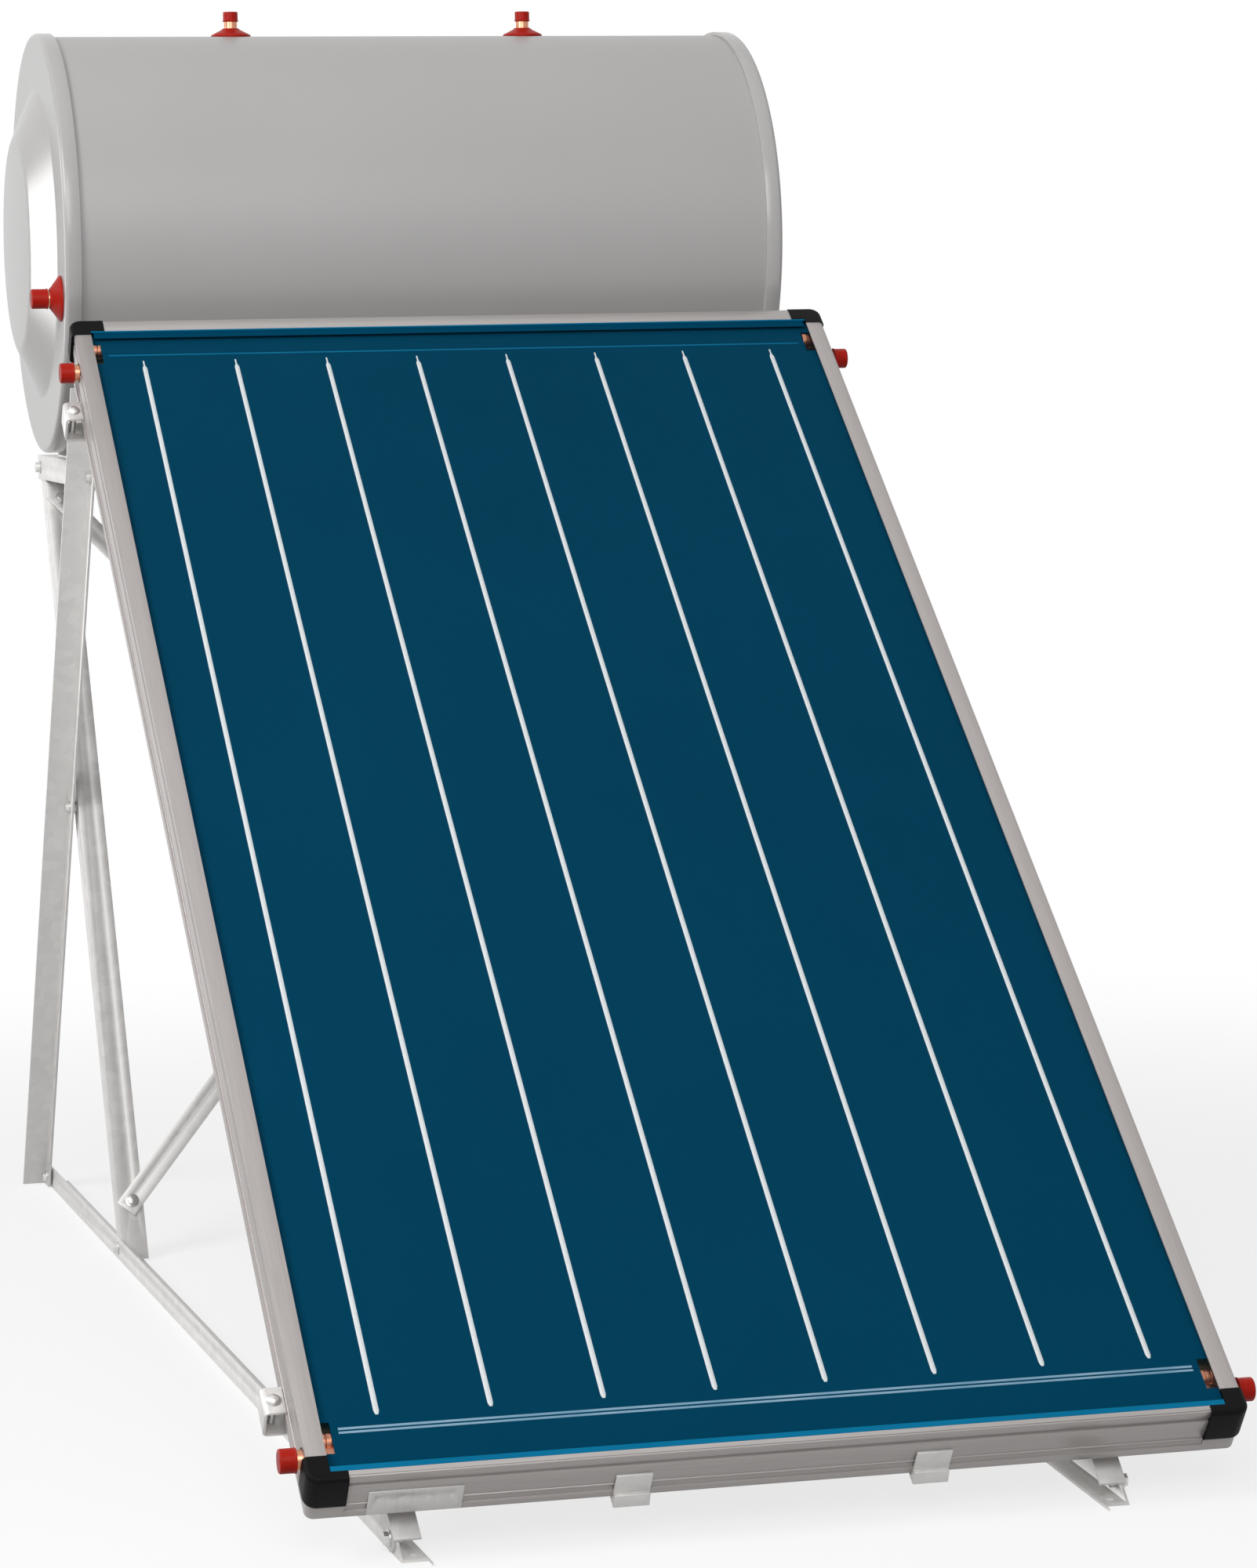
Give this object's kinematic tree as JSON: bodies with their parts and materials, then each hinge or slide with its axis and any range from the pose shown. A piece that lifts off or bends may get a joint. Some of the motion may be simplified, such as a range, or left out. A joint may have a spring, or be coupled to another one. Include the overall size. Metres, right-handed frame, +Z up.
{
  "type": "solar water heater",
  "caption": "Thermosiphon solar water heater: glazed flat plate collector with a blue absorber and a horizontal storage tank on a galvanised angle stand, with pull-off pipe plugs",
  "frame": {"origin": "on the ground, under the middle of the object's width and the stand's length", "axes": "X to the right seen from the front, Y to the rear, Z up"},
  "size_m": [1.0988, 2.3247, 1.7188],
  "materials": {
    "galvanised_steel": "hot-dip galvanised, mottled",
    "zinc_fasteners": "bright zinc plated",
    "coated_jacket": "satin coil coating, light grey",
    "cap_plastic": "smooth moulded, light grey",
    "steel_vessel": "enamelled steel",
    "foam": "rigid foam",
    "anode": "cast rod, matt grey",
    "copper": "drawn copper, slightly dull",
    "red_plastic": "moulded, soft sheen",
    "frame_aluminium": "mill finish extrusion",
    "strip_aluminium": "rolled sheet",
    "black_plastic": "moulded, matt",
    "absorber_coating": "selective coating, dark blue",
    "weld_seam": "bright weld seam",
    "rubber": "matt",
    "back_aluminium": "rolled sheet",
    "wool": "mineral wool",
    "solar_glass": "clear low-iron glass"
  },
  "bodies": {
    "heater": {"base_rail_left": "galvanised_steel", "base_rail_right": "galvanised_steel", "slope_rail_left": "galvanised_steel", "slope_rail_right": "galvanised_steel", "rear_leg_left": "galvanised_steel", "rear_leg_right": "galvanised_steel", "tank_leg_left": "galvanised_steel", "tank_leg_right": "galvanised_steel", "tank_bar_left": "galvanised_steel", "tank_bar_right": "galvanised_steel", "brace_rising_right": "galvanised_steel", "brace_rising_left": "galvanised_steel", "cross_rail_lower": "galvanised_steel", "cross_rail_upper": "galvanised_steel", "side_clamps": "galvanised_steel", "lower_hooks": "galvanised_steel", "tank_saddle_left": "galvanised_steel", "tank_saddle_right": "galvanised_steel", "frame_bolts": "zinc_fasteners", "clamp_bolts": "zinc_fasteners", "tank_jacket": "coated_jacket", "end_cap_left": "cap_plastic", "end_cap_right": "cap_plastic", "vessel": "steel_vessel", "heating_mantle": "steel_vessel", "foam_insulation": "foam", "anode_rod": "anode", "hot_water_pipe": "copper", "cold_water_pipe": "copper", "mantle_pipe_left": "copper", "mantle_pipe_right": "copper", "riser_tubes": "copper", "header_lower": "copper", "header_upper": "copper", "pipe_rosettes": "red_plastic", "profile_left": "frame_aluminium", "profile_right": "frame_aluminium", "profile_lower": "frame_aluminium", "profile_upper": "frame_aluminium", "glass_strips": "strip_aluminium", "vent_plate": "strip_aluminium", "corner_lower_left": "black_plastic", "corner_lower_right": "black_plastic", "corner_upper_left": "black_plastic", "corner_upper_right": "black_plastic", "glass_pane": "solar_glass", "absorber_sheet": "absorber_coating", "weld_seams": "weld_seam", "header_grommets": "rubber", "back_sheet": "back_aluminium", "wool_insulation": "wool"},
    "plug_hot": {"plug_hot": "red_plastic"},
    "plug_cold": {"plug_cold": "red_plastic"},
    "plug_mantle_left": {"plug_mantle_left": "red_plastic"},
    "plug_mantle_right": {"plug_mantle_right": "red_plastic"},
    "plug_lower_left": {"plug_lower_left": "red_plastic"},
    "plug_lower_right": {"plug_lower_right": "red_plastic"},
    "plug_upper_left": {"plug_upper_left": "red_plastic"},
    "plug_upper_right": {"plug_upper_right": "red_plastic"}
  },
  "joints": [
    {"name": "plug_hot_pull", "type": "slide", "parent": "heater", "child": "plug_hot", "axis": [0, 0, 1], "range_m": [0, 0.025]},
    {"name": "plug_cold_pull", "type": "slide", "parent": "heater", "child": "plug_cold", "axis": [0, 0, 1], "range_m": [0, 0.025]},
    {"name": "plug_mantle_left_pull", "type": "slide", "parent": "heater", "child": "plug_mantle_left", "axis": [-1, 0, 0], "range_m": [0, 0.025]},
    {"name": "plug_mantle_right_pull", "type": "slide", "parent": "heater", "child": "plug_mantle_right", "axis": [1, 0, 0], "range_m": [0, 0.025]},
    {"name": "plug_lower_left_pull", "type": "slide", "parent": "heater", "child": "plug_lower_left", "axis": [-1, 0, 0], "range_m": [0, 0.025]},
    {"name": "plug_lower_right_pull", "type": "slide", "parent": "heater", "child": "plug_lower_right", "axis": [1, 0, 0], "range_m": [0, 0.025]},
    {"name": "plug_upper_left_pull", "type": "slide", "parent": "heater", "child": "plug_upper_left", "axis": [-1, 0, 0], "range_m": [0, 0.025]},
    {"name": "plug_upper_right_pull", "type": "slide", "parent": "heater", "child": "plug_upper_right", "axis": [1, 0, 0], "range_m": [0, 0.025]}
  ]
}
